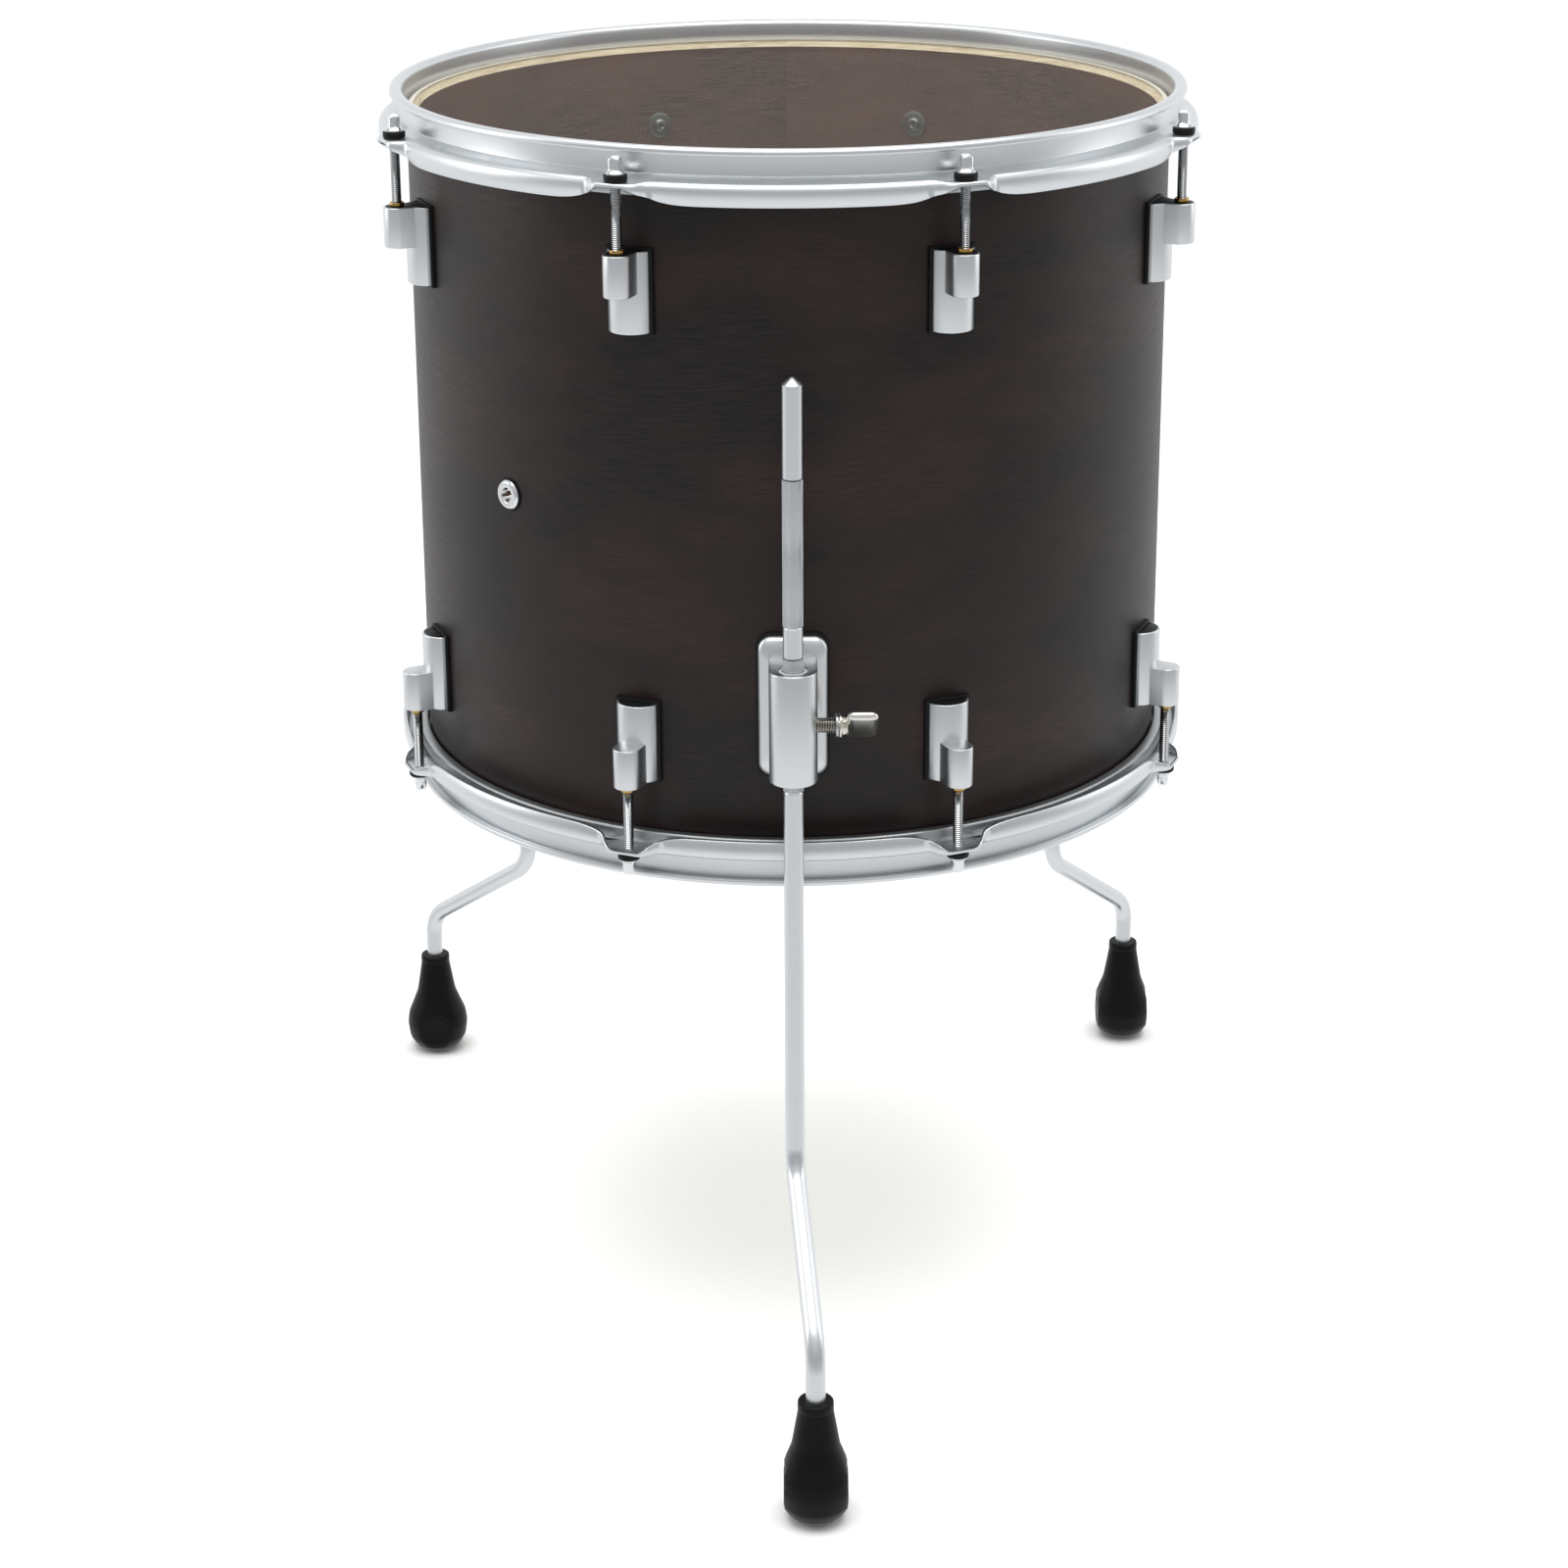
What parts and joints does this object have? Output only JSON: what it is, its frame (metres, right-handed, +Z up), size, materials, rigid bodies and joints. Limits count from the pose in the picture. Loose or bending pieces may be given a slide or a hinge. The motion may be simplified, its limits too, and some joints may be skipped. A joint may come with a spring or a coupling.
{
  "type": "floor tom",
  "caption": "Cylindrical wooden floor tom with tensioned clear heads, steel hoops and lugs, standing on adjustable bent legs with rubber feet.",
  "frame": {"origin": "on the floor, under the middle of the drum's bounding box; the drum's own axis stands 8.1 mm to +X and 43.4 mm to +Y of it", "axes": "+Z up along the drum's axis, -Y to the front, where the leg that faces the viewer stands, +X to the right"},
  "size_m": [0.486, 0.5888, 0.674],
  "materials": {
    "stained_shell": "satin dark brown stain",
    "satin_chrome": "satin",
    "bright_chrome": "bright",
    "aluminium": "mill finish",
    "clear_film": "clear gloss",
    "spring_steel": "zinc plated",
    "white_nylon": "moulded",
    "black_nylon": "moulded",
    "brass": "machined",
    "black_rubber": "moulded matte"
  },
  "bodies": {
    "shell_body": {"shell": "stained_shell", "vent_grommet": "bright_chrome", "batter_lug_1": "satin_chrome", "batter_lug_2": "satin_chrome", "batter_lug_3": "satin_chrome", "batter_lug_4": "satin_chrome", "batter_lug_5": "satin_chrome", "batter_lug_6": "satin_chrome", "batter_lug_7": "satin_chrome", "batter_lug_8": "satin_chrome", "resonant_lug_1": "satin_chrome", "resonant_lug_2": "satin_chrome", "resonant_lug_3": "satin_chrome", "resonant_lug_4": "satin_chrome", "resonant_lug_5": "satin_chrome", "resonant_lug_6": "satin_chrome", "resonant_lug_7": "satin_chrome", "resonant_lug_8": "satin_chrome", "front_leg_bracket": "satin_chrome", "right_leg_bracket": "satin_chrome", "left_leg_bracket": "satin_chrome"},
    "batter_hoop_body": {"batter_hoop": "satin_chrome", "batter_head": "clear_film", "batter_flesh_hoop": "aluminium"},
    "batter_rod_1_body": {"batter_rod_1": "bright_chrome"},
    "batter_rod_2_body": {"batter_rod_2": "bright_chrome"},
    "batter_rod_3_body": {"batter_rod_3": "bright_chrome"},
    "batter_rod_4_body": {"batter_rod_4": "bright_chrome"},
    "batter_rod_5_body": {"batter_rod_5": "bright_chrome"},
    "batter_rod_6_body": {"batter_rod_6": "bright_chrome"},
    "batter_rod_7_body": {"batter_rod_7": "bright_chrome"},
    "batter_rod_8_body": {"batter_rod_8": "bright_chrome"},
    "resonant_hoop_body": {"resonant_hoop": "satin_chrome", "resonant_head": "clear_film", "resonant_flesh_hoop": "aluminium"},
    "resonant_rod_1_body": {"resonant_rod_1": "bright_chrome"},
    "resonant_rod_2_body": {"resonant_rod_2": "bright_chrome"},
    "resonant_rod_3_body": {"resonant_rod_3": "bright_chrome"},
    "resonant_rod_4_body": {"resonant_rod_4": "bright_chrome"},
    "resonant_rod_5_body": {"resonant_rod_5": "bright_chrome"},
    "resonant_rod_6_body": {"resonant_rod_6": "bright_chrome"},
    "resonant_rod_7_body": {"resonant_rod_7": "bright_chrome"},
    "resonant_rod_8_body": {"resonant_rod_8": "bright_chrome"},
    "front_bush_body": {"front_leg_bush": "white_nylon"},
    "front_leg_body": {"front_leg": "satin_chrome"},
    "front_foot_body": {"front_foot": "black_rubber"},
    "front_washer_body": {"front_lock_washer": "spring_steel"},
    "front_bolt_body": {"front_wing_bolt": "bright_chrome"},
    "right_bush_body": {"right_leg_bush": "white_nylon"},
    "right_leg_body": {"right_leg": "satin_chrome"},
    "right_foot_body": {"right_foot": "black_rubber"},
    "right_washer_body": {"right_lock_washer": "spring_steel"},
    "right_bolt_body": {"right_wing_bolt": "bright_chrome"},
    "left_bush_body": {"left_leg_bush": "white_nylon"},
    "left_leg_body": {"left_leg": "satin_chrome"},
    "left_foot_body": {"left_foot": "black_rubber"},
    "left_washer_body": {"left_lock_washer": "spring_steel"},
    "left_bolt_body": {"left_wing_bolt": "bright_chrome"}
  },
  "joints": [
    {"name": "batter_hoop_travel", "type": "slide", "parent": "shell_body", "child": "batter_hoop_body", "axis": [0, 0, 1], "range_m": [0, 0.01164]},
    {"name": "batter_rod_1_turn", "type": "hinge", "parent": "batter_hoop_body", "child": "batter_rod_1_body", "pos_m": [0.0917, -0.15842, 0.66], "axis": [0, 0, 1], "range_deg": [0, 3961]},
    {"name": "batter_rod_2_turn", "type": "hinge", "parent": "batter_hoop_body", "child": "batter_rod_2_body", "pos_m": [0.20989, -0.04022, 0.66], "axis": [0, 0, 1], "range_deg": [0, 3961]},
    {"name": "batter_rod_3_turn", "type": "hinge", "parent": "batter_hoop_body", "child": "batter_rod_3_body", "pos_m": [0.20989, 0.12694, 0.66], "axis": [0, 0, 1], "range_deg": [0, 3961]},
    {"name": "batter_rod_4_turn", "type": "hinge", "parent": "batter_hoop_body", "child": "batter_rod_4_body", "pos_m": [0.0917, 0.24513, 0.66], "axis": [0, 0, 1], "range_deg": [0, 3961]},
    {"name": "batter_rod_5_turn", "type": "hinge", "parent": "batter_hoop_body", "child": "batter_rod_5_body", "pos_m": [-0.07546, 0.24513, 0.66], "axis": [0, 0, 1], "range_deg": [0, 3961]},
    {"name": "batter_rod_6_turn", "type": "hinge", "parent": "batter_hoop_body", "child": "batter_rod_6_body", "pos_m": [-0.19366, 0.12694, 0.66], "axis": [0, 0, 1], "range_deg": [0, 3961]},
    {"name": "batter_rod_7_turn", "type": "hinge", "parent": "batter_hoop_body", "child": "batter_rod_7_body", "pos_m": [-0.19366, -0.04022, 0.66], "axis": [0, 0, 1], "range_deg": [0, 3961]},
    {"name": "batter_rod_8_turn", "type": "hinge", "parent": "batter_hoop_body", "child": "batter_rod_8_body", "pos_m": [-0.07546, -0.15842, 0.66], "axis": [0, 0, 1], "range_deg": [0, 3961]},
    {"name": "resonant_hoop_travel", "type": "slide", "parent": "shell_body", "child": "resonant_hoop_body", "axis": [0, 0, -1], "range_m": [0, 0.01164]},
    {"name": "resonant_rod_1_turn", "type": "hinge", "parent": "resonant_hoop_body", "child": "resonant_rod_1_body", "pos_m": [0.0917, -0.15842, 0.31], "axis": [0, 0, -1], "range_deg": [0, 3961]},
    {"name": "resonant_rod_2_turn", "type": "hinge", "parent": "resonant_hoop_body", "child": "resonant_rod_2_body", "pos_m": [0.20989, -0.04022, 0.31], "axis": [0, 0, -1], "range_deg": [0, 3961]},
    {"name": "resonant_rod_3_turn", "type": "hinge", "parent": "resonant_hoop_body", "child": "resonant_rod_3_body", "pos_m": [0.20989, 0.12694, 0.31], "axis": [0, 0, -1], "range_deg": [0, 3961]},
    {"name": "resonant_rod_4_turn", "type": "hinge", "parent": "resonant_hoop_body", "child": "resonant_rod_4_body", "pos_m": [0.0917, 0.24513, 0.31], "axis": [0, 0, -1], "range_deg": [0, 3961]},
    {"name": "resonant_rod_5_turn", "type": "hinge", "parent": "resonant_hoop_body", "child": "resonant_rod_5_body", "pos_m": [-0.07546, 0.24513, 0.31], "axis": [0, 0, -1], "range_deg": [0, 3961]},
    {"name": "resonant_rod_6_turn", "type": "hinge", "parent": "resonant_hoop_body", "child": "resonant_rod_6_body", "pos_m": [-0.19366, 0.12694, 0.31], "axis": [0, 0, -1], "range_deg": [0, 3961]},
    {"name": "resonant_rod_7_turn", "type": "hinge", "parent": "resonant_hoop_body", "child": "resonant_rod_7_body", "pos_m": [-0.19366, -0.04022, 0.31], "axis": [0, 0, -1], "range_deg": [0, 3961]},
    {"name": "resonant_rod_8_turn", "type": "hinge", "parent": "resonant_hoop_body", "child": "resonant_rod_8_body", "pos_m": [-0.07546, -0.15842, 0.31], "axis": [0, 0, -1], "range_deg": [0, 3961]},
    {"name": "front_leg_swivel", "type": "hinge", "parent": "shell_body", "child": "front_bush_body", "pos_m": [0.00812, -0.18964, 0.392], "axis": [0, 0, 1], "continuous": true},
    {"name": "front_leg_height", "type": "slide", "parent": "front_bush_body", "child": "front_leg_body", "axis": [0, 0, 1], "range_m": [-0.13, 0.12]},
    {"name": "front_foot_turn", "type": "hinge", "parent": "front_leg_body", "child": "front_foot_body", "pos_m": [0.01741, -0.27514, 0.045], "axis": [0, 0, 1], "continuous": true},
    {"name": "front_washer_travel", "type": "slide", "parent": "shell_body", "child": "front_washer_body", "axis": [1, 0, 0], "range_m": [0, 0.0025]},
    {"name": "front_wing_bolt_turn", "type": "hinge", "parent": "front_washer_body", "child": "front_bolt_body", "pos_m": [0.00812, -0.18964, 0.392], "axis": [1, 0, 0], "range_deg": [0, 721]},
    {"name": "right_leg_swivel", "type": "hinge", "parent": "shell_body", "child": "right_bush_body", "pos_m": [0.17287, 0.20811, 0.392], "axis": [0, 0, 1], "continuous": true},
    {"name": "right_leg_height", "type": "slide", "parent": "right_bush_body", "child": "right_leg_body", "axis": [0, 0, 1], "range_m": [-0.13, 0.12]},
    {"name": "right_foot_turn", "type": "hinge", "parent": "right_leg_body", "child": "right_foot_body", "pos_m": [0.22676, 0.27514, 0.045], "axis": [0, 0, 1], "continuous": true},
    {"name": "right_washer_travel", "type": "slide", "parent": "shell_body", "child": "right_washer_body", "axis": [-0.7071, 0.7071, 0], "range_m": [0, 0.0025]},
    {"name": "right_wing_bolt_turn", "type": "hinge", "parent": "right_washer_body", "child": "right_bolt_body", "pos_m": [0.17287, 0.20811, 0.392], "axis": [-0.7071, 0.7071, 0], "range_deg": [0, 721]},
    {"name": "left_leg_swivel", "type": "hinge", "parent": "shell_body", "child": "left_bush_body", "pos_m": [-0.15664, 0.20811, 0.392], "axis": [0, 0, 1], "continuous": true},
    {"name": "left_leg_height", "type": "slide", "parent": "left_bush_body", "child": "left_leg_body", "axis": [0, 0, 1], "range_m": [-0.13, 0.12]},
    {"name": "left_foot_turn", "type": "hinge", "parent": "left_leg_body", "child": "left_foot_body", "pos_m": [-0.22366, 0.262, 0.045], "axis": [0, 0, 1], "continuous": true},
    {"name": "left_washer_travel", "type": "slide", "parent": "shell_body", "child": "left_washer_body", "axis": [-0.7071, -0.7071, 0], "range_m": [0, 0.0025]},
    {"name": "left_wing_bolt_turn", "type": "hinge", "parent": "left_washer_body", "child": "left_bolt_body", "pos_m": [-0.15664, 0.20811, 0.392], "axis": [-0.7071, -0.7071, 0], "range_deg": [0, 721]}
  ],
  "couplings": [
    {"joint": "batter_rod_1_turn", "follows": "batter_hoop_travel", "rad_per_m": 5936.9},
    {"joint": "batter_rod_2_turn", "follows": "batter_hoop_travel", "rad_per_m": 5936.9},
    {"joint": "batter_rod_3_turn", "follows": "batter_hoop_travel", "rad_per_m": 5936.9},
    {"joint": "batter_rod_4_turn", "follows": "batter_hoop_travel", "rad_per_m": 5936.9},
    {"joint": "batter_rod_5_turn", "follows": "batter_hoop_travel", "rad_per_m": 5936.9},
    {"joint": "batter_rod_6_turn", "follows": "batter_hoop_travel", "rad_per_m": 5936.9},
    {"joint": "batter_rod_7_turn", "follows": "batter_hoop_travel", "rad_per_m": 5936.9},
    {"joint": "batter_rod_8_turn", "follows": "batter_hoop_travel", "rad_per_m": 5936.9},
    {"joint": "resonant_rod_1_turn", "follows": "resonant_hoop_travel", "rad_per_m": 5936.9},
    {"joint": "resonant_rod_2_turn", "follows": "resonant_hoop_travel", "rad_per_m": 5936.9},
    {"joint": "resonant_rod_3_turn", "follows": "resonant_hoop_travel", "rad_per_m": 5936.9},
    {"joint": "resonant_rod_4_turn", "follows": "resonant_hoop_travel", "rad_per_m": 5936.9},
    {"joint": "resonant_rod_5_turn", "follows": "resonant_hoop_travel", "rad_per_m": 5936.9},
    {"joint": "resonant_rod_6_turn", "follows": "resonant_hoop_travel", "rad_per_m": 5936.9},
    {"joint": "resonant_rod_7_turn", "follows": "resonant_hoop_travel", "rad_per_m": 5936.9},
    {"joint": "resonant_rod_8_turn", "follows": "resonant_hoop_travel", "rad_per_m": 5936.9},
    {"joint": "front_wing_bolt_turn", "follows": "front_washer_travel", "rad_per_m": 5026.5},
    {"joint": "right_wing_bolt_turn", "follows": "right_washer_travel", "rad_per_m": 5026.5},
    {"joint": "left_wing_bolt_turn", "follows": "left_washer_travel", "rad_per_m": 5026.5}
  ]
}
